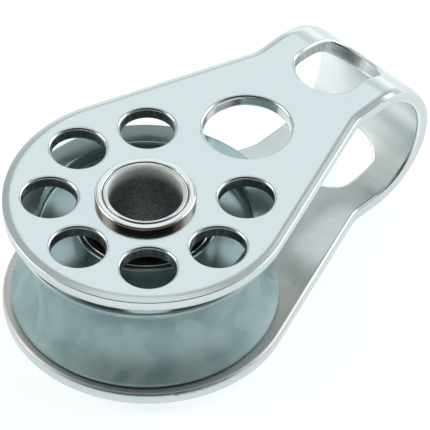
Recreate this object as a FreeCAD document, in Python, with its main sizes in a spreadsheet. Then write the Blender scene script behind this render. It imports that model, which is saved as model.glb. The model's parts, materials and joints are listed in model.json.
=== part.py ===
"""Single sheave block: a folded stainless strap, a hollow riveted axle and a sheave on two ball bearings.

Row frame, in millimetres: the origin is on the axle, midway between the cheeks. +Z runs along the axle,
+X towards the head of the strap, where the sheet is folded, and Y across it.
"""
import FreeCAD, Part
import math
import os

import Sketcher

Vector = FreeCAD.Vector

# Driving dimensions. Each becomes a cell of the spreadsheet, under the same word as its alias.
SIZES = {
    # strap: one sheet, folded at the head
    "sheet_thickness": 2.0,
    "cheek_gap": 15.8,
    "cheek_radius": 19.45,
    "cheek_centre": 0.45,
    "taper_angle": 20.3,
    "strip_width": 18.9,
    "neck_radius": 5.0,
    "fold_centre": 35.4,
    "edge_roll_width": 1.0,
    "edge_roll_depth": 0.35,
    "edge_roll_blend": 2.0,
    "crease_rounding": 0.15,
    "inner_edge_rounding": 0.5,
    "hole_rounding": 0.45,
    # holes in both cheeks
    "ring_hole_diameter": 7.4,
    "ring_hole_circle": 26.2,
    "ring_hole_first": 45.0,
    "ring_hole_sweep": 270.0,
    "ring_hole_count": 7,
    "eye_diameter": 11.8,
    "eye_centre": 19.3,
    "slot_start": 31.0,
    "slot_turn": 46.0,
    "slot_overlap": 2.4,
    "slot_fold_reach": 5.8,
    "slot_end_radius": 5.4,
    "slot_width": 9.5,
    "slot_corner_radius": 2.0,
    # hollow axle
    "axle_diameter": 12.0,
    "axle_end_diameter": 11.0,
    "axle_bore": 10.0,
    "lip_diameter": 13.6,
    "lip_height": 1.15,
    "lip_rounding": 0.4,
    "bead_rounding": 0.3,
    "mouth_rounding": 0.58,
    "lip_groove_diameter": 11.5,
    "lip_groove_width": 0.3,
    "lip_groove_height": 0.22,
    # sheave
    "sheave_diameter": 36.0,
    "sheave_width": 14.0,
    "groove_depth": 3.0,
    "groove_radius": 8.1,
    "rim_rounding": 0.3,
    "web_outer_diameter": 28.6,
    "web_inner_diameter": 19.5,
    "web_depth": 2.0,
    "web_rounding": 0.4,
    "hub_shoulder_diameter": 16.6,
    # ball bearings, one at each end of the hub
    "bearing_bore": 12.06,
    "bearing_diameter": 18.0,
    "bearing_width": 4.0,
    "bearing_stands_proud": 0.1,
    "race_rounding": 0.15,
    "ball_diameter": 1.588,
    "ball_circle": 15.0,
    "ball_count": 15,
    "ball_clearance": 0.04,
    "race_shoulder": 0.4,
    "cage_shoulder": 0.3,
    "cage_back": 1.3,
    "cage_front": 0.3,
    "seal_recess": 0.15,
    "seal_thickness": 0.35,
    "seal_outer_diameter": 16.5,
    "seal_lip_gap": 0.03,
    "sleeve_diameter": 13.8,
    "rest_clearance": 0.03,
}

doc = FreeCAD.newDocument("sheave_block")
sheet = doc.addObject("Spreadsheet::Sheet", "Sizes")
for row, (alias, value) in enumerate(SIZES.items(), start=1):
    sheet.set(f"A{row}", alias)
    sheet.set(f"B{row}", str(value))
    sheet.setAlias(f"B{row}", alias)
doc.recompute()


class Size:
    """A length known twice: as a number to draw with, and as the formula on the sheet that drives it."""

    def __init__(self, number, formula):
        self.number = number
        self.formula = formula

    def combine(self, other, sign, number):
        return Size(number, f"({self.formula} {sign} {formula_of(other)})")

    def __add__(self, other):
        return self.combine(other, "+", self.number + number_of(other))

    def __sub__(self, other):
        return self.combine(other, "-", self.number - number_of(other))

    def __mul__(self, other):
        return self.combine(other, "*", self.number * number_of(other))

    def __truediv__(self, other):
        return self.combine(other, "/", self.number / number_of(other))

    def __neg__(self):
        return Size(-self.number, f"(-1 * {self.formula})")


def number_of(value):
    return value.number if isinstance(value, Size) else float(value)


def formula_of(value):
    return value.formula if isinstance(value, Size) else str(float(value))


def size(alias):
    """The driving dimension of that name."""
    return Size(float(SIZES[alias]), "Sizes." + alias)


def bind(obj, prop, value):
    """Ties a property to the sheet through a Size's formula."""
    obj.setExpression(prop, formula_of(value))


# Places that several sub-parts share
GAP_HALF = size("cheek_gap") / 2
OUTSIDE = GAP_HALF + size("sheet_thickness")
FOLD_MIDDLE = GAP_HALF + size("sheet_thickness") / 2
STACK_HALF = size("sheave_width") / 2 + size("bearing_stands_proud")
SHEAVE_MIDDLE = STACK_HALF - GAP_HALF + size("rest_clearance")
BEARING_OFFSET = STACK_HALF - size("bearing_width") / 2
SLEEVE_HALF = STACK_HALF - size("bearing_width")
BALL_RADIUS = size("ball_diameter") / 2
BALL_CIRCLE_RADIUS = size("ball_circle") / 2

SAME_PLACE = 1e-4  # two lengths closer than this are equal
ALONG_AXIS = 0.999  # a unit direction's share of an axis above which it counts as parallel
EDGE_MARGIN = 0.1  # an edge this close to a hole's outline belongs to the hole
OVERRUN = 1.0  # how far a cutting tool runs past the face that it cuts


# --- sketches and PartDesign features ---------------------------------------------------------------

def plane_of(body, role):
    """A body's own origin plane or axis."""
    return next(feature for feature in body.Origin.OriginFeatures if feature.Role == role)


def new_sketch(body, name, role):
    sketch = body.newObject("Sketcher::SketchObject", name)
    sketch.AttachmentSupport = [(plane_of(body, role), "")]
    sketch.MapMode = "FlatFace"
    return sketch


def constrain(sketch, kind, *places, value=None):
    """Adds one constraint, with its value tied to the sheet if it has one."""
    if value is None:
        sketch.addConstraint(Sketcher.Constraint(kind, *places))
        return
    number = number_of(value)
    if kind == "Angle":
        number = math.radians(number)
    index = sketch.addConstraint(Sketcher.Constraint(kind, *places, number))
    if isinstance(value, Size):
        sketch.setExpression(f"Constraints[{index}]", value.formula)


def place_point(sketch, geometry, end, point):
    """Fixes one end of a line or the centre of a circle at a point given as two Sizes or numbers."""
    constrain(sketch, "DistanceX", -1, 1, geometry, end, value=point[0])
    constrain(sketch, "DistanceY", -1, 1, geometry, end, value=point[1])


def polygon_sketch(body, name, role, points):
    """A closed outline of straight lines, every corner tied to the sheet."""
    sketch = new_sketch(body, name, role)
    corners = [Vector(number_of(x), number_of(y), 0) for x, y in points]
    for index, corner in enumerate(corners):
        sketch.addGeometry(Part.LineSegment(corner, corners[(index + 1) % len(corners)]))
    for index, point in enumerate(points):
        following = (index + 1) % len(points)
        constrain(sketch, "Coincident", index, 2, following, 1)
        place_point(sketch, index, 1, point)
    return sketch


def circle_sketch(body, name, role, centre, radius):
    sketch = new_sketch(body, name, role)
    middle = Vector(number_of(centre[0]), number_of(centre[1]), 0)
    sketch.addGeometry(Part.Circle(middle, Vector(0, 0, 1), number_of(radius)))
    constrain(sketch, "Radius", 0, value=radius)
    place_point(sketch, 0, 3, centre)
    return sketch


def turned(body, name, sketch, kind="PartDesign::Revolution"):
    """A full turn of a profile about the body's Z axis: a Revolution adds, a Groove cuts."""
    feature = body.newObject(kind, name)
    feature.Profile = sketch
    feature.ReferenceAxis = (plane_of(body, "Z_Axis"), [""])
    feature.Angle = 360
    return feature


def round_edges(body, name, wanted, radius):
    """A PartDesign fillet on the edges of the body's last feature that the test picks."""
    doc.recompute()
    base = body.Tip
    chosen = [f"Edge{i}" for i, edge in enumerate(base.Shape.Edges, start=1) if wanted(edge)]
    feature = body.newObject("PartDesign::Fillet", name)
    feature.Base = (base, chosen)
    bind(feature, "Radius", radius)
    return feature


def near(a, b):
    return abs(a - number_of(b)) < SAME_PLACE


def ring_edge(edge, radius, heights):
    """True for a full circle about the Z axis at one of the heights."""
    if not isinstance(edge.Curve, Part.Circle) or not near(edge.Curve.Radius, radius):
        return False
    centre = edge.Curve.Center
    on_axis = math.hypot(centre.x, centre.y) < SAME_PLACE
    return on_axis and any(near(centre.z, height) for height in heights)


# --- Part primitives and booleans -------------------------------------------------------------------

def cylinder(name, radius, bottom, top):
    """A cylinder about the Z axis between two heights."""
    solid = doc.addObject("Part::Cylinder", name)
    bind(solid, "Radius", radius)
    bind(solid, "Height", top - bottom)
    bind(solid, "Placement.Base.z", bottom)
    return solid


def tube(name, inner_radius, outer_radius, bottom, top):
    result = doc.addObject("Part::Cut", name)
    result.Base = cylinder(name + "_outside", outer_radius, bottom, top)
    result.Tool = cylinder(name + "_inside", inner_radius, bottom - OVERRUN, top + OVERRUN)
    return result


def cut(name, base, *tools):
    """Base less one or more tools."""
    result = doc.addObject("Part::Cut", name)
    result.Base = base
    if len(tools) == 1:
        result.Tool = tools[0]
        return result
    group = doc.addObject("Part::Compound", name + "_tools")
    group.Links = list(tools)
    result.Tool = group
    return result


def rounded(name, base, wanted, radius):
    """A Part fillet on the edges of the base that the test picks."""
    doc.recompute()
    chosen = [i for i, edge in enumerate(base.Shape.Edges, start=1) if wanted(edge)]
    result = doc.addObject("Part::Fillet", name)
    result.Base = base
    result.Edges = [(i, number_of(radius), number_of(radius)) for i in chosen]
    return result


# --- strap ------------------------------------------------------------------------------------------

def cheek_outline(body):
    """Plan of the sheet: a round end, two tapering sides and a parallel strip that runs past the fold."""
    sketch = new_sketch(body, "CheekOutline", "XY_Plane")
    centre = size("cheek_centre")
    radius = size("cheek_radius")
    half_strip = size("strip_width") / 2
    neck = size("neck_radius")
    end_x = size("fold_centre") + OUTSIDE + OVERRUN
    taper = math.radians(SIZES["taper_angle"])
    normal = Vector(math.sin(taper), math.cos(taper), 0)
    middle = Vector(centre.number, 0, 0)
    touch = middle + normal * radius.number
    neck_y = half_strip.number + neck.number
    neck_x = middle.x + (radius.number + neck.number - neck_y * normal.y) / normal.x
    neck_start = Vector(neck_x, neck_y, 0) - normal * neck.number

    def mirrored(point):
        return Vector(point.x, -point.y, 0)

    def line(start, end):
        return sketch.addGeometry(Part.LineSegment(start, end))

    def arc(middle_point, arc_radius, start_angle, end_angle):
        full = Part.Circle(middle_point, Vector(0, 0, 1), arc_radius)
        return sketch.addGeometry(Part.ArcOfCircle(full, start_angle, end_angle))

    quarter = math.pi / 2
    strip_start = Vector(neck_x, half_strip.number, 0)
    strip_end = Vector(end_x.number, half_strip.number, 0)
    head = arc(middle, radius.number, quarter - taper, 3 * quarter + taper)
    taper_up = line(touch, neck_start)
    neck_up = arc(Vector(neck_x, neck_y, 0), neck.number, 3 * quarter - taper, 3 * quarter)
    strip_up = line(strip_start, strip_end)
    closing = line(strip_end, mirrored(strip_end))
    strip_down = line(mirrored(strip_end), mirrored(strip_start))
    neck_down = arc(Vector(neck_x, -neck_y, 0), neck.number, quarter, quarter + taper)
    taper_down = line(mirrored(neck_start), mirrored(touch))

    place_point(sketch, head, 3, (centre, 0.0))
    constrain(sketch, "Radius", head, value=radius)
    constrain(sketch, "Tangent", head, 1, taper_up, 1)
    constrain(sketch, "Tangent", taper_up, 2, neck_up, 1)
    constrain(sketch, "Tangent", neck_up, 2, strip_up, 1)
    constrain(sketch, "Coincident", strip_up, 2, closing, 1)
    constrain(sketch, "Coincident", closing, 2, strip_down, 1)
    constrain(sketch, "Tangent", strip_down, 2, neck_down, 1)
    constrain(sketch, "Tangent", neck_down, 2, taper_down, 1)
    constrain(sketch, "Tangent", taper_down, 2, head, 2)
    for neck_arc in (neck_up, neck_down):
        constrain(sketch, "Radius", neck_arc, value=neck)
    for strip in (strip_up, strip_down):
        constrain(sketch, "Horizontal", strip)
    place_point(sketch, closing, 1, (end_x, half_strip))
    place_point(sketch, closing, 2, (end_x, -half_strip))
    constrain(sketch, "Angle", taper_up, value=-size("taper_angle"))
    constrain(sketch, "Angle", taper_down, value=size("taper_angle") - 180)
    return sketch


def through_hole(body, name, sketch):
    """A hole along Z through the whole height of the plan body."""
    pocket = body.newObject("PartDesign::Pocket", name)
    pocket.Profile = sketch
    pocket.SideType = "Symmetric"
    pocket.Type = "ThroughAll"
    return pocket


def strap_plan():
    """The sheet seen from above, with its round holes, as a block as tall as the folded strap."""
    body = doc.addObject("PartDesign::Body", "StrapPlan")
    pad = body.newObject("PartDesign::Pad", "PlanBlock")
    pad.Profile = cheek_outline(body)
    pad.SideType = "Symmetric"
    bind(pad, "Length", (OUTSIDE + OVERRUN) * 2)
    for name, alias, centre in (
        ("AxleHole", "axle_end_diameter", 0.0),
        ("EyeHole", "eye_diameter", size("eye_centre")),
    ):
        circle = circle_sketch(body, name + "Circle", "XY_Plane", (centre, 0.0), size(alias) / 2)
        through_hole(body, name, circle)

    # The ring's sketch is shifted to the cheek's centre, so that its normal is the ring's axis.
    first = math.radians(SIZES["ring_hole_first"])
    reach = size("ring_hole_circle") / 2
    start = (reach * math.cos(first), reach * math.sin(first))
    circle = circle_sketch(body, "RingHoleCircle", "XY_Plane", start, size("ring_hole_diameter") / 2)
    bind(circle, "AttachmentOffset.Base.x", size("cheek_centre"))
    hole = through_hole(body, "RingHole", circle)
    doc.recompute()
    ring = body.newObject("PartDesign::PolarPattern", "RingHoles")
    ring.Originals = [hole]
    ring.Axis = (circle, ["N_Axis"])
    bind(ring, "Angle", size("ring_hole_sweep"))
    bind(ring, "Occurrences", size("ring_hole_count"))
    body.Tip = ring
    return body


def strap_side():
    """The folded sheet seen from the side: two legs joined by a half round, extruded across the strap."""
    body = doc.addObject("PartDesign::Body", "StrapSide")
    tail = size("cheek_centre") - size("cheek_radius") - OVERRUN
    fold = size("fold_centre")
    for name, half, kind in (
        ("OuterSide", OUTSIDE, "PartDesign::Pad"),
        ("InnerSide", GAP_HALF, "PartDesign::Pocket"),
    ):
        sketch = new_sketch(body, name + "Outline", "XZ_Plane")
        top_start = Vector(tail.number, half.number, 0)
        top_end = Vector(fold.number, half.number, 0)
        bottom_end = Vector(fold.number, -half.number, 0)
        bottom_start = Vector(tail.number, -half.number, 0)
        circle = Part.Circle(Vector(fold.number, 0, 0), Vector(0, 0, 1), half.number)
        sketch.addGeometry(Part.ArcOfCircle(circle, -math.pi / 2, math.pi / 2))
        sketch.addGeometry(Part.LineSegment(top_end, top_start))
        sketch.addGeometry(Part.LineSegment(top_start, bottom_start))
        sketch.addGeometry(Part.LineSegment(bottom_start, bottom_end))
        place_point(sketch, 0, 3, (fold, 0.0))
        constrain(sketch, "Tangent", 0, 2, 1, 1)
        constrain(sketch, "Coincident", 1, 2, 2, 1)
        constrain(sketch, "Coincident", 2, 2, 3, 1)
        constrain(sketch, "Tangent", 3, 2, 0, 1)
        constrain(sketch, "Horizontal", 1)
        constrain(sketch, "Horizontal", 3)
        place_point(sketch, 2, 1, (tail, half))
        constrain(sketch, "DistanceX", -1, 1, 2, 2, value=tail)
        feature = body.newObject(kind, name)
        feature.Profile = sketch
        feature.SideType = "Symmetric"
        bind(feature, "Length", (size("cheek_radius") + OVERRUN) * 2)
    return body


def slot_outline(body, apex, side, closing):
    """A slot's rounded end with its parallel sides. Side is +1 where the end points along +X, else -1."""
    sketch = new_sketch(body, body.Label + "Outline", "XY_Plane")
    end = size("slot_end_radius")
    corner = size("slot_corner_radius")
    half = size("slot_width") / 2
    middle_x = apex - end * side
    corner_y = half.number - corner.number
    reach = math.sqrt((end.number - corner.number) ** 2 - corner_y ** 2)
    corner_x = middle_x.number + side * reach
    tilt = math.atan2(corner_y, reach)
    pole = 0 if side > 0 else math.pi

    def arc(x, y, radius, start, finish):
        circle = Part.Circle(Vector(x, y, 0), Vector(0, 0, 1), radius)
        return sketch.addGeometry(Part.ArcOfCircle(circle, min(start, finish), max(start, finish)))

    def line(start_x, start_y, end_x, end_y):
        return sketch.addGeometry(Part.LineSegment(Vector(start_x, start_y, 0), Vector(end_x, end_y, 0)))

    tip = arc(middle_x.number, 0, end.number, pole - tilt, pole + tilt)
    upper = arc(corner_x, corner_y, corner.number, pole + side * tilt, math.pi / 2)
    lower = arc(corner_x, -corner_y, corner.number, pole - side * tilt, pole - side * math.pi / 2)
    upper_side = line(corner_x, half.number, closing.number, half.number)
    lower_side = line(corner_x, -half.number, closing.number, -half.number)
    back = line(closing.number, half.number, closing.number, -half.number)

    # Arcs run anticlockwise, so which end meets which neighbour depends on the side.
    first, last = (1, 2) if side > 0 else (2, 1)
    constrain(sketch, "Tangent", tip, last, upper, first)
    constrain(sketch, "Tangent", tip, first, lower, last)
    constrain(sketch, "Tangent", upper, last, upper_side, 1)
    constrain(sketch, "Tangent", lower, first, lower_side, 1)
    constrain(sketch, "Coincident", upper_side, 2, back, 1)
    constrain(sketch, "Coincident", lower_side, 2, back, 2)
    constrain(sketch, "Radius", tip, value=end)
    constrain(sketch, "Radius", upper, value=corner)
    constrain(sketch, "Radius", lower, value=corner)
    place_point(sketch, tip, 3, (middle_x, 0.0))
    place_point(sketch, back, 1, (closing, half))
    place_point(sketch, back, 2, (closing, -half))
    constrain(sketch, "Horizontal", upper_side)
    constrain(sketch, "Horizontal", lower_side)
    return sketch


def flat_slot_punch():
    """Cuts the sheave end of both head slots, straight through the two flat legs."""
    body = doc.addObject("PartDesign::Body", "FlatSlotPunch")
    pad = body.newObject("PartDesign::Pad", "FlatSlotBlock")
    pad.Profile = slot_outline(body, size("slot_start"), -1, size("fold_centre") + size("slot_overlap"))
    pad.SideType = "Symmetric"
    bind(pad, "Length", (OUTSIDE + OVERRUN) * 2)
    return body


def fold_slot_punch():
    """Cuts the other end of the upper slot, along the fold's radius where the slot stops."""
    body = doc.addObject("PartDesign::Body", "FoldSlotPunch")
    pad = body.newObject("PartDesign::Pad", "FoldSlotBlock")
    pad.Profile = slot_outline(body, Size(0.0, "0"), 1, -size("slot_fold_reach"))
    bind(pad, "Length", OUTSIDE + OVERRUN)
    body.Placement = FreeCAD.Placement(Vector(), FreeCAD.Rotation(Vector(0, 1, 0), SIZES["slot_turn"]))
    bind(body, "Placement.Base.x", size("fold_centre"))
    bind(body, "Placement.Rotation.Angle", size("slot_turn"))
    return body


def mirrored_below(name, source):
    result = doc.addObject("Part::Mirroring", name)
    result.Source = source
    result.Normal = Vector(0, 0, 1)
    return result


def lies_at(edge, distance):
    """True for an edge that keeps this distance from the strap's middle plane, and from the fold's axis."""
    fold = SIZES["fold_centre"]
    first, last = edge.ParameterRange
    for share in (0.2, 0.5, 0.8):
        point = edge.valueAt(first + (last - first) * share)
        reach = abs(point.z) if point.x <= fold else math.hypot(point.x - fold, point.z)
        if not near(reach, distance):
            return False
    return True


def hole_beside(edge):
    """Name of the hole that an edge of the sheet belongs to, or None on the outline."""
    fold = SIZES["fold_centre"]
    point = edge.valueAt(sum(edge.ParameterRange) / 2)
    along = point.x
    if point.x > fold:
        turn = math.atan2(point.x - fold, abs(point.z))
        along = fold + turn * FOLD_MIDDLE.number
    ring = SIZES["ring_hole_circle"] / 2
    reach = math.hypot(along - SIZES["cheek_centre"], point.y)
    if math.hypot(along, point.y) < SIZES["axle_end_diameter"] / 2 + EDGE_MARGIN:
        return "axle"
    if math.hypot(along - SIZES["eye_centre"], point.y) < SIZES["eye_diameter"] / 2 + EDGE_MARGIN:
        return "eye"
    beside_slot = abs(point.y) < SIZES["slot_width"] / 2 + EDGE_MARGIN
    if beside_slot and along > SIZES["slot_start"] - EDGE_MARGIN:
        return "slot"
    if abs(reach - ring) < SIZES["ring_hole_diameter"] / 2 + EDGE_MARGIN and along < ring:
        return "ring"
    return None


def lies_across(edge):
    """True for a straight line along Y, such as the seam where the flat leg meets the fold."""
    return isinstance(edge.Curve, Part.Line) and abs(edge.Curve.Direction.y) > ALONG_AXIS


def outline_at(distance):
    """A test that picks the edges of the strap's outline at this distance from its middle plane."""
    def wanted(edge):
        return lies_at(edge, distance) and not lies_across(edge) and hole_beside(edge) is None

    return wanted


def is_skin(face):
    """True for a flat leg's inner or outer face, or the fold's, and False for a cut side."""
    surface = face.Surface
    if isinstance(surface, Part.Plane):
        return abs(surface.Axis.z) > ALONG_AXIS
    return isinstance(surface, Part.Cylinder) and abs(surface.Axis.y) > ALONG_AXIS


def rolled_over(name, base, wanted, across, down):
    """A Part chamfer on the edges that the test picks, one size across the skin and one down the side."""
    doc.recompute()
    edges = []
    for index, edge in enumerate(base.Shape.Edges, start=1):
        if wanted(edge):
            first_face = base.Shape.ancestorsOfType(edge, Part.Face)[0]
            first, second = (across, down) if is_skin(first_face) else (down, across)
            edges.append((index, number_of(first), number_of(second)))
    result = doc.addObject("Part::Chamfer", name)
    result.Base = base
    result.Edges = edges
    return result


def finished_outline(punched):
    """The sheet with its inside edges rounded and its outside ones rolled over, as the punch leaves them."""
    crease = OUTSIDE - size("edge_roll_depth")
    inside = rounded("InnerEdges", punched, outline_at(GAP_HALF), size("inner_edge_rounding"))
    roll = rolled_over(
        "EdgeRoll", inside, outline_at(OUTSIDE), size("edge_roll_width"), size("edge_roll_depth")
    )
    blended = rounded("EdgeRollBlend", roll, outline_at(OUTSIDE), size("edge_roll_blend"))
    return rounded("EdgeRollCrease", blended, outline_at(crease), size("crease_rounding"))


def strap():
    folded = doc.addObject("Part::Common", "FoldedSheet")
    folded.Base = strap_plan()
    folded.Tool = strap_side()
    upper_punch = fold_slot_punch()
    lower_punch = mirrored_below("FoldSlotPunchBelow", upper_punch)
    punch = doc.addObject("Part::MultiFuse", "SlotPunch")
    punch.Shapes = [flat_slot_punch(), upper_punch, lower_punch]
    punch.Refine = True
    punched = cut("PunchedSheet", folded, punch)
    punched.Refine = True

    def on_hole(edge):
        on_skin = lies_at(edge, GAP_HALF) or lies_at(edge, OUTSIDE)
        return on_skin and not lies_across(edge) and hole_beside(edge) in ("eye", "slot", "ring")

    return rounded("strap", finished_outline(punched), on_hole, size("hole_rounding"))


# --- hollow axle ------------------------------------------------------------------------------------

def tubular_rivet():
    """Hollow axle: its shoulders set the cheeks apart, and its ends are rolled out over them."""
    body = doc.addObject("PartDesign::Body", "tubular_rivet")
    bore = size("axle_bore") / 2
    shoulder = size("axle_diameter") / 2
    neck = size("axle_end_diameter") / 2
    lip = size("lip_diameter") / 2
    top = OUTSIDE + size("lip_height")
    profile = [
        (bore, -top),
        (lip, -top),
        (lip, -OUTSIDE),
        (neck, -OUTSIDE),
        (neck, -GAP_HALF),
        (shoulder, -GAP_HALF),
        (shoulder, GAP_HALF),
        (neck, GAP_HALF),
        (neck, OUTSIDE),
        (lip, OUTSIDE),
        (lip, top),
        (bore, top),
    ]
    turned(body, "AxleBlank", polygon_sketch(body, "AxleProfile", "XZ_Plane", profile))

    middle = size("lip_groove_diameter") / 2
    half = size("lip_groove_width") / 2
    bottom = top - size("lip_groove_height")
    for name, sign in (("UpperLipGroove", 1), ("LowerLipGroove", -1)):
        notch = [(middle - half, top * sign), (middle, bottom * sign), (middle + half, top * sign)]
        turned(body, name, polygon_sketch(body, name + "Notch", "XZ_Plane", notch), "PartDesign::Groove")

    ends = (top, -top)
    round_edges(body, "MouthRounding", lambda edge: ring_edge(edge, bore, ends), size("mouth_rounding"))
    round_edges(body, "LipRounding", lambda edge: ring_edge(edge, lip, ends), size("lip_rounding"))
    bead = middle + half
    round_edges(body, "BeadRounding", lambda edge: ring_edge(edge, bead, ends), size("bead_rounding"))
    return body


# --- sheave -----------------------------------------------------------------------------------------

def sheave():
    """Turned sheave: wide shallow rope groove, recessed web, and a hub bored for two ball bearings."""
    body = doc.addObject("PartDesign::Body", "sheave")
    seat = size("bearing_diameter") / 2
    shoulder = size("hub_shoulder_diameter") / 2
    hub = size("web_inner_diameter") / 2
    rim = size("web_outer_diameter") / 2
    edge_radius = size("sheave_diameter") / 2
    half = size("sheave_width") / 2
    web = half - size("web_depth")
    upper_half = [
        (shoulder, SLEEVE_HALF),
        (seat, SLEEVE_HALF),
        (seat, half),
        (hub, half),
        (hub, web),
        (rim, web),
        (rim, half),
        (edge_radius, half),
    ]
    profile = upper_half + [(radius, -height) for radius, height in reversed(upper_half)]
    turned(body, "SheaveBlank", polygon_sketch(body, "SheaveProfile", "XZ_Plane", profile))

    bottom = edge_radius - size("groove_depth")
    centre = (bottom + size("groove_radius"), 0.0)
    groove_circle = circle_sketch(body, "RopeGrooveCircle", "XZ_Plane", centre, size("groove_radius"))
    turned(body, "RopeGroove", groove_circle, "PartDesign::Groove")

    def on_rim(edge):
        at_face = isinstance(edge.Curve, Part.Circle) and near(abs(edge.Curve.Center.z), half)
        return at_face and edge.Curve.Radius > number_of(seat) + EDGE_MARGIN

    webs = (web, -web)
    round_edges(body, "RimRounding", on_rim, size("rim_rounding"))
    round_edges(body, "WebRounding", lambda edge: ring_edge(edge, rim, webs), size("web_rounding"))
    bind(body, "Placement.Base.z", SHEAVE_MIDDLE)
    return body


# --- ball bearings ----------------------------------------------------------------------------------

def raceway(name, middle):
    """The ring that the balls roll in, cut out of either race."""
    ring = doc.addObject("Part::Torus", name)
    bind(ring, "Radius1", BALL_CIRCLE_RADIUS)
    bind(ring, "Radius2", BALL_RADIUS + size("ball_clearance"))
    bind(ring, "Placement.Base.z", middle)
    return ring


def inner_race(side, middle):
    half = size("bearing_width") / 2
    bore = size("bearing_bore") / 2
    outside = BALL_CIRCLE_RADIUS - size("race_shoulder")
    blank = tube(f"{side}_inner_race_blank", bore, outside, middle - half, middle + half)
    ground = cut(f"{side}_inner_race_ground", blank, raceway(f"{side}_inner_raceway", middle))

    def in_mouth(edge):
        return ring_edge(edge, bore, (middle - half, middle + half))

    return rounded(f"{side}_inner_race", ground, in_mouth, size("race_rounding"))


def outer_race(side, middle):
    """Outer race, with a shallow seat at each end for a seal."""
    top = middle + size("bearing_width") / 2
    bottom = middle - size("bearing_width") / 2
    inside = BALL_CIRCLE_RADIUS + size("race_shoulder")
    outside = size("bearing_diameter") / 2
    blank = tube(f"{side}_outer_race_blank", inside, outside, bottom, top)
    seal_seat = size("seal_recess") + size("seal_thickness")
    seat_radius = size("seal_outer_diameter") / 2
    seats = [
        cylinder(f"{side}_seal_seat_above", seat_radius, top - seal_seat, top + OVERRUN),
        cylinder(f"{side}_seal_seat_below", seat_radius, bottom - OVERRUN, bottom + seal_seat),
    ]
    ground = cut(f"{side}_outer_race_ground", blank, raceway(f"{side}_outer_raceway", middle), *seats)

    def on_rim(edge):
        return ring_edge(edge, outside, (bottom, top))

    return rounded(f"{side}_outer_race", ground, on_rim, size("race_rounding"))


def seal(side, place, middle, sign):
    """Rubber seal: it sits in the outer race and its lip just clears the inner one."""
    face = middle + (size("bearing_width") / 2 - size("seal_recess")) * sign
    back = face - size("seal_thickness") * sign
    low, high = (back, face) if sign > 0 else (face, back)
    lip = BALL_CIRCLE_RADIUS - size("race_shoulder") + size("seal_lip_gap")
    return tube(f"{side}_{place}_seal", lip, size("seal_outer_diameter") / 2, low, high)


def ball(name, middle, turn):
    """One ball on the ball circle."""
    result = doc.addObject("Part::Sphere", name)
    bind(result, "Radius", BALL_RADIUS)
    angle = math.radians(turn)
    bind(result, "Placement.Base.x", BALL_CIRCLE_RADIUS * Size(math.cos(angle), f"cos({turn} deg)"))
    bind(result, "Placement.Base.y", BALL_CIRCLE_RADIUS * Size(math.sin(angle), f"sin({turn} deg)"))
    bind(result, "Placement.Base.z", middle)
    return result


def cage(side, middle, sign, turns):
    """Crown cage: a ring with a pocket for each ball, open on one side."""
    back = middle - size("cage_back") * sign
    front = middle + size("cage_front") * sign
    low, high = (back, front) if sign > 0 else (front, back)
    inside = BALL_CIRCLE_RADIUS - size("cage_shoulder")
    outside = BALL_CIRCLE_RADIUS + size("cage_shoulder")
    blank = tube(f"{side}_cage_blank", inside, outside, low, high)
    pockets = []
    for index, turn in enumerate(turns, start=1):
        pocket = ball(f"{side}_cage_pocket_{index:02d}", middle, turn)
        bind(pocket, "Radius", BALL_RADIUS + size("ball_clearance"))
        pockets.append(pocket)
    return cut(f"{side}_ball_cage", blank, *pockets)


def bearing(side, sign):
    """All the pieces of one ball bearing. Sign is +1 at the upper end of the hub, else -1."""
    middle = SHEAVE_MIDDLE + BEARING_OFFSET * sign
    count = SIZES["ball_count"]
    turns = [360 * index / count for index in range(count)]
    pieces = [
        inner_race(side, middle),
        outer_race(side, middle),
        seal(side, "outside", middle, sign),
        seal(side, "inside", middle, -sign),
        cage(side, middle, sign, turns),
    ]
    pieces += [ball(f"{side}_ball_{index:02d}", middle, turn) for index, turn in enumerate(turns, start=1)]
    return pieces


def spacer_sleeve():
    """Sleeve between the two inner races, which passes side load from one to the other."""
    low = SHEAVE_MIDDLE - SLEEVE_HALF
    high = SHEAVE_MIDDLE + SLEEVE_HALF
    return tube("spacer_sleeve", size("bearing_bore") / 2, size("sleeve_diameter") / 2, low, high)


# --- build, check and write -------------------------------------------------------------------------

def cuts_nothing(feature):
    """True for a Pocket or Groove that leaves its body's volume as it was."""
    if feature.TypeId not in ("PartDesign::Pocket", "PartDesign::Groove"):
        return False
    return feature.Shape.Volume >= feature.BaseFeature.Shape.Volume


def check(parts):
    """Stops the script if an object failed, a cut missed, or a sub-part isn't one sound solid."""
    failed = [obj.Name for obj in doc.Objects if "Invalid" in obj.State or "Error" in obj.State]
    if failed:
        raise RuntimeError(f"failed objects: {failed}")
    missed = [obj.Name for obj in doc.Objects if cuts_nothing(obj)]
    if missed:
        raise RuntimeError(f"features that cut nothing: {missed}")
    for part in parts:
        shape = part.Shape
        if shape.isNull() or not shape.isValid() or len(shape.Solids) != 1 or shape.Volume <= 0:
            raise RuntimeError(f"{part.Label} isn't one valid solid")


subparts = [strap(), tubular_rivet(), sheave(), spacer_sleeve()]
for bearing_side, bearing_sign in (("upper", 1), ("lower", -1)):
    subparts += bearing(bearing_side, bearing_sign)
doc.recompute()
check(subparts)

os.makedirs("parts", exist_ok=True)
for subpart in subparts:
    subpart.Shape.exportStep(f"parts/{subpart.Label}.step")
    print(f"{subpart.Label}: {subpart.Shape.Volume:.2f} mm3")
print(f"{len(subparts)} sub-parts written")
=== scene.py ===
"""Looks of a single sheave block: polished strap, riveted hollow axle, anodised sheave and its two bearings.

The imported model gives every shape. This script gives each of its material slots a procedural material,
and adds the studio: a white floor, a room that lights the object, and the camera. Lengths are in metres.
"""

import json
import math

import bpy
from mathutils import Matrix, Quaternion, Vector


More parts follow.
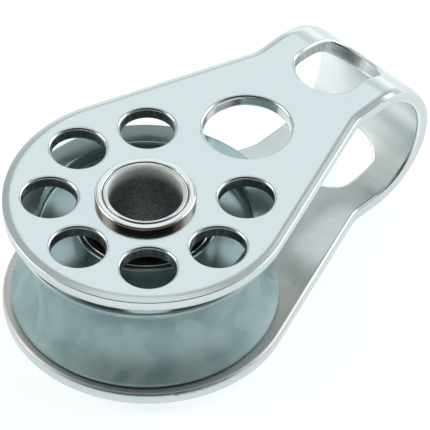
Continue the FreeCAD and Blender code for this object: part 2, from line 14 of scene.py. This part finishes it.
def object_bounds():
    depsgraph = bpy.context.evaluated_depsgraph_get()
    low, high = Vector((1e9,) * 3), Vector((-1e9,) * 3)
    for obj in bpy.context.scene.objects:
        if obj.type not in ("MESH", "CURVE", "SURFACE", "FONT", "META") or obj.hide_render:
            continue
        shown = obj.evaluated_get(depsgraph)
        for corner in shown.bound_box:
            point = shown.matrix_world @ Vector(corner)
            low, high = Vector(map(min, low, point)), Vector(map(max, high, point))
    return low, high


MM = 0.001

# Sizes of the model, along X: the strap's fold and the middle of its round cheeks.
FOLD_CENTRE = 35.4 * MM
CHEEK_CENTRE = 0.45 * MM
# From the middle of the strap out to its inner face.
INNER_FACE = 7.9 * MM
# The rivet's rolled lip, and the groove in its top.
LIP_RADIUS = 6.8 * MM
LIP_TOP = 11.05 * MM
LIP_GROOVE_RADIUS = 5.75 * MM
# The height of the sheave's middle where it rests.
SHEAVE_MIDDLE = -0.77 * MM

# Where a finish, a painted shade or a painted highlight changes to the next one. Each pair holds the place
# where the next one starts and the place where it is full.
INSIDE = (INNER_FACE + 0.5 * MM, INNER_FACE + 0.1 * MM)
BY_SHEAVE = (INNER_FACE + 1.0 * MM, INNER_FACE + 0.7 * MM)
PAST_FOLD = (0.0, 3.0 * MM)
CHEEK_X = (17 * MM, 13 * MM)
CHEEK_EDGE_RADIUS = (16.4 * MM, 17.6 * MM)
HOLES_RADIUS = (17.8 * MM, 17.4 * MM)
SLOT_X = (30.0 * MM, 30.5 * MM)
SLOT_HALF_WIDTH = (5.4 * MM, 5.1 * MM)
BORE_RADIUS = (5.5 * MM, 5.2 * MM)
MOUTH_HEIGHT = (10.5 * MM, 8.2 * MM)
OFF_LIP_GROOVE = (0.15 * MM, 0.08 * MM)
LIP_GROOVE_TOP = (LIP_TOP - 0.02 * MM, LIP_TOP - 0.1 * MM)
LIP_WALL_RADIUS = (LIP_RADIUS - 0.12 * MM, LIP_RADIUS - 0.04 * MM)
ROPE_GROOVE_RADIUS = (14.5 * MM, 14.8 * MM)
ROPE_GROOVE_HALF_WIDTH = (6.9 * MM, 6.6 * MM)
# The same for the direction of the strap's surface: 1 faces straight out of the sheet, 0 along it.
CUT_SQUARENESS = (0.45, 0.2)

# The part of a noise's range that most of it falls in.
NOISE_SPREAD = (0.3, 0.7)
# Narrower parts, for more contrast.
STREAK_SPREAD = (0.35, 0.65)
PATCH_SPREAD = (0.4, 0.6)
# How far a turned surface's noise moves on for one radian round the axis.
LATHE_STRETCH = 0.02 * MM

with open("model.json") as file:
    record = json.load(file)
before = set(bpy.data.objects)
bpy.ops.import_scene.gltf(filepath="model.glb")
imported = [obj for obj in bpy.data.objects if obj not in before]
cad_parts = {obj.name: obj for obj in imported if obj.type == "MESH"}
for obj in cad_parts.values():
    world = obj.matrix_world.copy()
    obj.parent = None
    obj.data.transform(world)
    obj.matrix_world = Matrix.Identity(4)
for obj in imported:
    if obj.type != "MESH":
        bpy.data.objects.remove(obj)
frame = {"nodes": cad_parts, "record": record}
cad_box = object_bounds()


# --- node helpers -----------------------------------------------------------------------------------

class Graph:
    """One material's nodes. Its calls add a node and return the output socket to use."""

    def __init__(self, name):
        self.material = bpy.data.materials.new(name)
        self.material.use_nodes = True
        self.nodes = self.material.node_tree.nodes
        self.links = self.material.node_tree.links
        self.shader = self.nodes["Principled BSDF"]

    def feed(self, socket, value):
        """Joins an output socket to an input, or sets the input to a constant."""
        if isinstance(value, bpy.types.NodeSocket):
            self.links.new(value, socket)
        else:
            socket.default_value = value

    def set(self, **constants):
        """Sets sockets of the shader, named with underscores for spaces."""
        for name, value in constants.items():
            self.shader.inputs[name.replace("_", " ")].default_value = value

    def drive(self, name, output):
        """Links an output to a socket of the shader."""
        self.links.new(output, self.shader.inputs[name])

    def place(self):
        """The point on the surface, in the row frame at rest."""
        return self.nodes.new("ShaderNodeTexCoord").outputs["Object"]

    def facing(self):
        """The direction that the surface faces, in the row frame at rest."""
        return self.nodes.new("ShaderNodeTexCoord").outputs["Normal"]

    def math(self, operation, first, second=0.0):
        """One operation on numbers."""
        node = self.nodes.new("ShaderNodeMath")
        node.operation = operation
        self.feed(node.inputs[0], first)
        self.feed(node.inputs[1], second)
        return node.outputs[0]

    def vector(self, operation, first, second=(0.0, 0.0, 0.0)):
        """One operation on vectors. A length or a dot product comes out as a number."""
        node = self.nodes.new("ShaderNodeVectorMath")
        node.operation = operation
        self.feed(node.inputs[0], first)
        self.feed(node.inputs[1], second)
        return node.outputs["Value" if operation in ("LENGTH", "DOT_PRODUCT") else "Vector"]

    def parts(self, point):
        """X, Y and Z of a point."""
        node = self.nodes.new("ShaderNodeSeparateXYZ")
        self.feed(node.inputs[0], point)
        return node.outputs

    def point(self, x, y, z):
        """A point from its X, Y and Z."""
        node = self.nodes.new("ShaderNodeCombineXYZ")
        for socket, value in zip(node.inputs, (x, y, z)):
            self.feed(socket, value)
        return node.outputs[0]

    def noise(self, grain, point=None, detail=2.0, roughness=0.5, distortion=0.0):
        """Noise from 0 to 1 with a grain of that size."""
        node = self.nodes.new("ShaderNodeTexNoise")
        self.feed(node.inputs["Vector"], point if point is not None else self.place())
        node.inputs["Scale"].default_value = 1.0 / grain
        node.inputs["Detail"].default_value = detail
        node.inputs["Roughness"].default_value = roughness
        node.inputs["Distortion"].default_value = distortion
        return node.outputs[0]

    def remap(self, value, low, high, out_low=0.0, out_high=1.0, smooth=False):
        """Straight or smooth map of one range to another, held at both ends."""
        node = self.nodes.new("ShaderNodeMapRange")
        node.interpolation_type = "SMOOTHSTEP" if smooth else "LINEAR"
        for socket, given in zip(node.inputs, (value, low, high, out_low, out_high)):
            self.feed(socket, given)
        return node.outputs[0]

    def mix(self, share, first, second):
        """A number between two numbers."""
        return self.remap(share, 0.0, 1.0, first, second)

    def blend(self, share, first, second):
        """A colour between two colours."""
        node = self.nodes.new("ShaderNodeMix")
        node.data_type = "RGBA"
        self.feed(node.inputs["Factor"], share)
        self.feed(node.inputs["A"], first)
        self.feed(node.inputs["B"], second)
        return node.outputs["Result"]

    def bump(self, height, distance, strength=1.0, under=None):
        """A normal bent by a height from 0 to 1 that stands for that distance."""
        node = self.nodes.new("ShaderNodeBump")
        node.inputs["Strength"].default_value = strength
        node.inputs["Distance"].default_value = distance
        self.feed(node.inputs["Height"], height)
        if under is not None:
            self.feed(node.inputs["Normal"], under)
        return node.outputs[0]

    def turned_place(self):
        """A point that hardly changes round the Z axis, so that noise on it makes a lathe's rings."""
        x, y, z = self.parts(self.place())
        across = self.vector("LENGTH", self.point(x, y, 0.0))
        around = self.math("MULTIPLY", self.math("ARCTAN2", y, x), LATHE_STRETCH)
        return self.point(across, around, z)

    def lathe_tangent(self):
        """Tells the shader that the surface's grain runs round the Z axis."""
        node = self.nodes.new("ShaderNodeTangent")
        node.direction_type = "RADIAL"
        node.axis = "Z"
        self.links.new(node.outputs[0], self.shader.inputs["Tangent"])


def colour(red, green, blue):
    return (red, green, blue, 1.0)


# --- materials --------------------------------------------------------------------------------------

def polished_stainless():
    """Stainless sheet: tumbled bright and cool outside; inside, painted shade on the legs and cheeks and a
    painted highlight in the fold; sheared walls in its holes, with painted shade on the walls of the ring of
    holes.
    """
    graph = Graph("polished_stainless")
    x, y, z = graph.parts(graph.place())
    past_fold = graph.math("MAXIMUM", graph.math("SUBTRACT", x, FOLD_CENTRE), 0.0)
    out = graph.point(past_fold, 0.0, z)
    from_middle = graph.vector("LENGTH", out)
    inside = graph.remap(from_middle, *INSIDE, smooth=True)
    in_fold = graph.remap(past_fold, *PAST_FOLD, smooth=True)
    in_cheek = graph.remap(x, *CHEEK_X, smooth=True)
    by_sheave = graph.math("MULTIPLY", graph.remap(from_middle, *BY_SHEAVE), in_cheek)
    from_centre = graph.vector("LENGTH", graph.point(graph.math("SUBTRACT", x, CHEEK_CENTRE), y, 0.0))
    haze = graph.noise(9 * MM, detail=3.0, roughness=0.55)
    grain = graph.noise(0.22 * MM, detail=3.0, roughness=0.6)
    mottle = graph.noise(2.5 * MM, detail=3.0, roughness=0.6)

    # The walls of the ring of holes and of the slots: as punched, dull and streaked through the sheet. The
    # ring's walls also carry painted shade.
    outwards = graph.vector("NORMALIZE", out)
    squareness = graph.math("ABSOLUTE", graph.vector("DOT_PRODUCT", graph.facing(), outwards))
    cut = graph.remap(squareness, *CUT_SQUARENESS, smooth=True)
    in_ring = graph.remap(from_centre, *HOLES_RADIUS)
    off_centre_line = graph.math("ABSOLUTE", y)
    in_slot = graph.math("MULTIPLY", graph.remap(x, *SLOT_X), graph.remap(off_centre_line, *SLOT_HALF_WIDTH))
    shear = graph.noise(0.3 * MM, point=graph.point(x, y, graph.math("MULTIPLY", z, 0.12)), detail=3.0)

    outer_tint = graph.blend(haze, colour(0.60, 0.65, 0.655), colour(0.64, 0.685, 0.69))
    # Painted shade: the inner faces of the legs are darker than the outside.
    leg_shade_tint = graph.blend(mottle, colour(0.46, 0.485, 0.475), colour(0.58, 0.61, 0.605))
    # Painted highlight: the inside of the fold is lighter than the rest of the sheet.
    fold_highlight_tint = graph.blend(grain, colour(0.74, 0.775, 0.775), colour(0.88, 0.91, 0.905))
    # Painted shade: the cheeks' inner faces are very dark where the sheave lies and less dark, warm grey, at
    # their rims.
    rim_shade_tint = graph.blend(grain, colour(0.44, 0.42, 0.41), colour(0.64, 0.62, 0.61))
    under_sheave_shade_tint = graph.blend(mottle, colour(0.20, 0.21, 0.21), colour(0.32, 0.33, 0.33))
    cheek_shade_tint = graph.blend(graph.remap(from_centre, *CHEEK_EDGE_RADIUS), under_sheave_shade_tint, rim_shade_tint)
    inner_tint = graph.blend(in_cheek, graph.blend(in_fold, leg_shade_tint, fold_highlight_tint), cheek_shade_tint)
    streak = graph.remap(shear, *STREAK_SPREAD)
    # Painted shade: the walls of the ring of holes are dark; their streaks are shear marks.
    ring_hole_shade_tint = graph.blend(streak, colour(0.24, 0.25, 0.24), colour(0.38, 0.39, 0.37))
    slot_tint = graph.blend(streak, colour(0.54, 0.59, 0.59), colour(0.70, 0.74, 0.74))
    tint = graph.blend(inside, outer_tint, inner_tint)
    tint = graph.blend(graph.math("MULTIPLY", cut, in_ring), tint, ring_hole_shade_tint)
    graph.drive("Base Color", graph.blend(graph.math("MULTIPLY", cut, in_slot), tint, slot_tint))

    fold_rough = 0.30
    cheek_rough = 0.38
    hole_rough = 0.30
    slot_rough = 0.46
    grain_rough = graph.remap(grain, *NOISE_SPREAD, 0.0, 0.06)
    rough = graph.remap(haze, *NOISE_SPREAD, 0.13, 0.17)
    rough = graph.mix(graph.math("MULTIPLY", inside, in_fold), rough, fold_rough)
    rough = graph.mix(by_sheave, rough, cheek_rough)
    punched = graph.math("MULTIPLY", cut, graph.math("MAXIMUM", in_ring, in_slot))
    rough = graph.mix(punched, rough, graph.mix(in_slot, hole_rough, slot_rough))
    graph.drive("Roughness", graph.math("ADD", rough, grain_rough))
    streaks = graph.bump(graph.math("MULTIPLY", shear, punched), 0.02 * MM, 0.3)
    graph.drive("Normal", graph.bump(grain, 0.002 * MM, 0.35, under=streaks))
    graph.set(Metallic=1.0)
    return graph.material


def rivet_stainless():
    """Stainless tube: burnished lips, with painted shade on the lip's wall and in its groove; mouths painted
    pale as light falling in, and painted shade deep in the bore.
    """
    graph = Graph("rivet_stainless")
    x, y, z = graph.parts(graph.place())
    across = graph.vector("LENGTH", graph.point(x, y, 0.0))
    height = graph.math("ABSOLUTE", z)
    in_bore = graph.remap(across, *BORE_RADIUS, smooth=True)
    deep = graph.remap(height, *MOUTH_HEIGHT, smooth=True)
    off_groove = graph.math("ABSOLUTE", graph.math("SUBTRACT", across, LIP_GROOVE_RADIUS))
    in_groove = graph.math("MULTIPLY", graph.remap(off_groove, *OFF_LIP_GROOVE, smooth=True),
                           graph.remap(height, *LIP_GROOVE_TOP))
    speckle = graph.noise(0.35 * MM, detail=3.0, roughness=0.65)
    rings = graph.noise(0.12 * MM, point=graph.turned_place(), detail=2.0)
    burnished = graph.blend(rings, colour(0.66, 0.68, 0.68), colour(0.77, 0.79, 0.785))
    # Painted light: the mouths are pale where light falls in, and deep in the bore is dark as painted shade;
    # the specks are real pits.
    lit_mouth_tint = graph.blend(speckle, colour(0.72, 0.77, 0.74), colour(0.92, 0.94, 0.90))
    speck = graph.remap(speckle, *STREAK_SPREAD)
    shaded_bore_tint = graph.blend(speck, colour(0.12, 0.135, 0.14), colour(0.36, 0.375, 0.385))
    tint = graph.blend(in_bore, burnished, graph.blend(deep, lit_mouth_tint, shaded_bore_tint))
    # Painted shade: the groove in the lip's top is darkened.
    tint = graph.blend(in_groove, tint, colour(0.42, 0.42, 0.42))
    # Painted shade: the lip's outer wall is dark brown.
    on_wall = graph.remap(across, *LIP_WALL_RADIUS)
    graph.drive("Base Color", graph.blend(on_wall, tint, colour(0.19, 0.16, 0.135)))
    lip_rough = graph.remap(rings, *NOISE_SPREAD, 0.07, 0.13)
    bore_rough = graph.remap(speckle, *NOISE_SPREAD, 0.36, 0.50)
    graph.drive("Roughness", graph.mix(in_bore, lip_rough, bore_rough))
    mouth_metallic = 0.1
    deep_metallic = 0.5
    graph.drive("Metallic", graph.mix(in_bore, 1.0, graph.mix(deep, mouth_metallic, deep_metallic)))
    pits = graph.bump(speckle, 0.01 * MM, 0.5)
    graph.drive("Normal", graph.bump(rings, 0.002 * MM, 0.3, under=pits))
    return graph.material


def anodised_aluminium():
    """Grey-green hard-anodised aluminium: turned and satin on web and hub, matt and cloudy in the groove,
    which painted shade darkens.
    """
    graph = Graph("anodised_aluminium")
    x, y, z = graph.parts(graph.place())
    across = graph.vector("LENGTH", graph.point(x, y, 0.0))
    off_middle = graph.math("ABSOLUTE", graph.math("SUBTRACT", z, SHEAVE_MIDDLE))
    in_groove = graph.math("MULTIPLY", graph.remap(across, *ROPE_GROOVE_RADIUS),
                           graph.remap(off_middle, *ROPE_GROOVE_HALF_WIDTH, smooth=True))
    rings = graph.noise(0.25 * MM, point=graph.turned_place(), detail=3.0, roughness=0.6)
    cloud = graph.noise(5 * MM, detail=2.0, distortion=0.6)
    patch = graph.remap(cloud, *PATCH_SPREAD, smooth=True)
    web_tint = graph.blend(rings, colour(0.38, 0.485, 0.49), colour(0.41, 0.52, 0.525))
    # Painted shade: the rope groove is darker than the web; its cloudy patches are the anodising's own.
    groove_shade_tint = graph.blend(patch, colour(0.25, 0.365, 0.375), colour(0.34, 0.45, 0.45))
    graph.drive("Base Color", graph.blend(in_groove, web_tint, groove_shade_tint))
    web_rough = graph.remap(rings, *NOISE_SPREAD, 0.27, 0.30)
    groove_rough = graph.mix(patch, 0.44, 0.52)
    graph.drive("Roughness", graph.mix(in_groove, web_rough, groove_rough))
    web_metallic = 0.85
    groove_metallic = 0.45
    graph.drive("Metallic", graph.mix(in_groove, web_metallic, groove_metallic))
    graph.drive("Normal", graph.bump(rings, 0.001 * MM, 0.05))
    graph.set(Anisotropic=0.4)
    graph.lathe_tangent()
    return graph.material


def turned_metal(name, dark, light, rough):
    """Plain turned or ground metal with fine rings."""
    graph = Graph(name)
    rings = graph.noise(0.1 * MM, point=graph.turned_place(), detail=2.0)
    graph.drive("Base Color", graph.blend(rings, dark, light))
    graph.drive("Roughness", graph.remap(rings, *NOISE_SPREAD, rough, rough + 0.12))
    graph.drive("Normal", graph.bump(rings, 0.002 * MM, 0.3))
    graph.set(Metallic=1.0, Anisotropic=0.4)
    graph.lathe_tangent()
    return graph.material


def ball_steel():
    """Hardened ball steel, lapped to a mirror with a few faint smudges of grease."""
    graph = Graph("ball_steel")
    smudge = graph.noise(0.5 * MM, detail=2.0)
    graph.drive("Base Color", graph.blend(smudge, colour(0.72, 0.73, 0.74), colour(0.8, 0.8, 0.8)))
    graph.drive("Roughness", graph.remap(smudge, 0.4, 0.7, 0.04, 0.2))
    graph.set(Metallic=1.0)
    return graph.material


def seal_rubber():
    """Black moulded rubber with a fine matt grain."""
    graph = Graph("seal_rubber")
    grain = graph.noise(0.15 * MM, detail=3.0, roughness=0.6)
    graph.drive("Base Color", graph.blend(grain, colour(0.012, 0.012, 0.013), colour(0.03, 0.03, 0.032)))
    graph.drive("Roughness", graph.remap(grain, *NOISE_SPREAD, 0.45, 0.65))
    graph.drive("Normal", graph.bump(grain, 0.01 * MM, 0.4))
    return graph.material


def cage_polyamide():
    """Natural polyamide: ivory, slightly cloudy."""
    graph = Graph("cage_polyamide")
    cloud = graph.noise(0.8 * MM, detail=2.0)
    graph.drive("Base Color", graph.blend(cloud, colour(0.62, 0.55, 0.4), colour(0.72, 0.66, 0.52)))
    graph.drive("Roughness", graph.remap(cloud, *NOISE_SPREAD, 0.38, 0.5))
    graph.set(Subsurface_Weight=0.1, Subsurface_Scale=0.5 * MM)
    return graph.material


def sleeve_aluminium():
    return turned_metal("sleeve_aluminium", colour(0.6, 0.61, 0.62), colour(0.7, 0.71, 0.72), 0.25)


def inner_race_steel():
    return turned_metal("inner_race_steel", colour(0.5, 0.5, 0.49), colour(0.62, 0.62, 0.6), 0.15)


def outer_race_steel():
    return turned_metal("outer_race_steel", colour(0.68, 0.69, 0.68), colour(0.8, 0.81, 0.79), 0.12)


MATERIALS = {
    "polished_stainless": polished_stainless(),
    "rivet_stainless": rivet_stainless(),
    "anodised_aluminium": anodised_aluminium(),
    "sleeve_aluminium": sleeve_aluminium(),
    "inner_race_steel": inner_race_steel(),
    "outer_race_steel": outer_race_steel(),
    "ball_steel": ball_steel(),
    "seal_rubber": seal_rubber(),
    "cage_polyamide": cage_polyamide(),
}
for part in frame["record"]["subparts"]:
    node = frame["nodes"][part["node"]]
    node.data.materials.clear()
    node.data.materials.append(MATERIALS[part["material_slot"]])


# --- studio -----------------------------------------------------------------------------------------

VIEW_AZIMUTH = -46.19
VIEW_ELEVATION = 45.09
VIEW_ROLL = 0.86
VIEW_WIDTH = 57.51 * MM
VIEW_DISTANCE = 1170 * MM
VIEW_TARGET = Vector((9.115, -4.087, 3.28)) * MM
# The camera's sensor width is in millimetres, as Blender has it.
SENSOR = 36.0
NEAREST_SEEN = 10 * MM
FARTHEST_SEEN = 20.0
FLOOR_SIZE = 3.0

# The room's light, in patches: azimuth and elevation in degrees, the half angles where a patch is still full
# and where it ends, its strength and its colour. A negative strength takes light away.
ROOM_PATCHES = (
    ("viewer's dark side", -46, 20, 56, 70, -0.56, (0.94, 0.99, 1.0)),
    ("far softbox", 134, 45, 9, 20, 0.60, (0.89, 0.97, 1.0)),
    ("far wall", 122, 16, 8, 24, 0.3, (0.94, 0.99, 1.0)),
    ("overhead", 134, 88, 8, 24, 0.45, (0.97, 1.0, 1.0)),
    ("right softbox", 68, 30, 16, 25, 2.2, (1.0, 1.0, 1.0)),
    ("left softbox", -142, 32, 12, 22, 2.2, (1.0, 0.98, 0.94)),
    ("horizon", 0, -90, 92, 116, 0.65, (1.0, 1.0, 1.0)),
)
ROOM_LEVEL = 0.6
ROOM_TINT = (0.94, 0.99, 1.0)


def direction(azimuth, elevation):
    """Unit vector from the object towards a viewer there. Azimuth 0 is on the -Y side."""
    a = math.radians(azimuth)
    e = math.radians(elevation)
    return Vector((math.sin(a) * math.cos(e), -math.cos(a) * math.cos(e), math.sin(e)))


def add_camera():
    """A long lens, VIEW_WIDTH wide at the target."""
    data = bpy.data.cameras.new("camera")
    data.sensor_width = SENSOR
    data.lens = SENSOR * VIEW_DISTANCE / VIEW_WIDTH
    data.clip_start = NEAREST_SEEN
    data.clip_end = FARTHEST_SEEN
    camera = bpy.data.objects.new("camera", data)
    back = direction(VIEW_AZIMUTH, VIEW_ELEVATION)
    camera.location = VIEW_TARGET + back * VIEW_DISTANCE
    roll = Quaternion((0.0, 0.0, 1.0), math.radians(VIEW_ROLL))
    camera.rotation_euler = (back.to_track_quat("Z", "Y") @ roll).to_euler()
    bpy.context.scene.collection.objects.link(camera)
    bpy.context.scene.camera = camera


def add_floor():
    """A floor under the object's lowest point. Its own light keeps it white but for a faint shadow."""
    bpy.ops.mesh.primitive_plane_add(size=FLOOR_SIZE, location=(0.0, 0.0, cad_box[0].z))
    floor = bpy.context.object
    floor.name = "floor"
    graph = Graph("floor")
    graph.set(Base_Color=colour(0.5, 0.5, 0.5), Roughness=0.9, Specular_IOR_Level=0.0)
    graph.set(Emission_Color=colour(0.95, 0.99, 1.0), Emission_Strength=0.75)
    floor.data.materials.append(graph.material)


def add_world():
    """A dim room with soft patches, each added to the ones before it."""
    world = bpy.data.worlds.new("studio")
    world.use_nodes = True
    bpy.context.scene.world = world
    nodes = world.node_tree.nodes
    links = world.node_tree.links
    place = nodes.new("ShaderNodeTexCoord").outputs["Generated"]
    total = None
    for name, azimuth, elevation, inner, outer, strength, tint in ROOM_PATCHES:
        closeness = nodes.new("ShaderNodeVectorMath")
        closeness.operation = "DOT_PRODUCT"
        closeness.label = name
        links.new(place, closeness.inputs[0])
        closeness.inputs[1].default_value = direction(azimuth, elevation)
        fade = nodes.new("ShaderNodeMapRange")
        fade.interpolation_type = "SMOOTHSTEP"
        links.new(closeness.outputs["Value"], fade.inputs[0])
        low = math.cos(math.radians(outer))
        high = math.cos(math.radians(inner))
        for socket, value in zip(fade.inputs[1:5], (low, high, 0.0, strength)):
            socket.default_value = value
        patch = nodes.new("ShaderNodeVectorMath")
        patch.operation = "MULTIPLY_ADD"
        patch.inputs[0].default_value = tint
        links.new(fade.outputs[0], patch.inputs[1])
        if total is None:
            patch.inputs[2].default_value = [ROOM_LEVEL * share for share in ROOM_TINT]
        else:
            links.new(total, patch.inputs[2])
        total = patch.outputs[0]
    links.new(total, nodes["Background"].inputs["Color"])


add_camera()
add_floor()
add_world()
bpy.context.scene.view_settings.view_transform = "Standard"
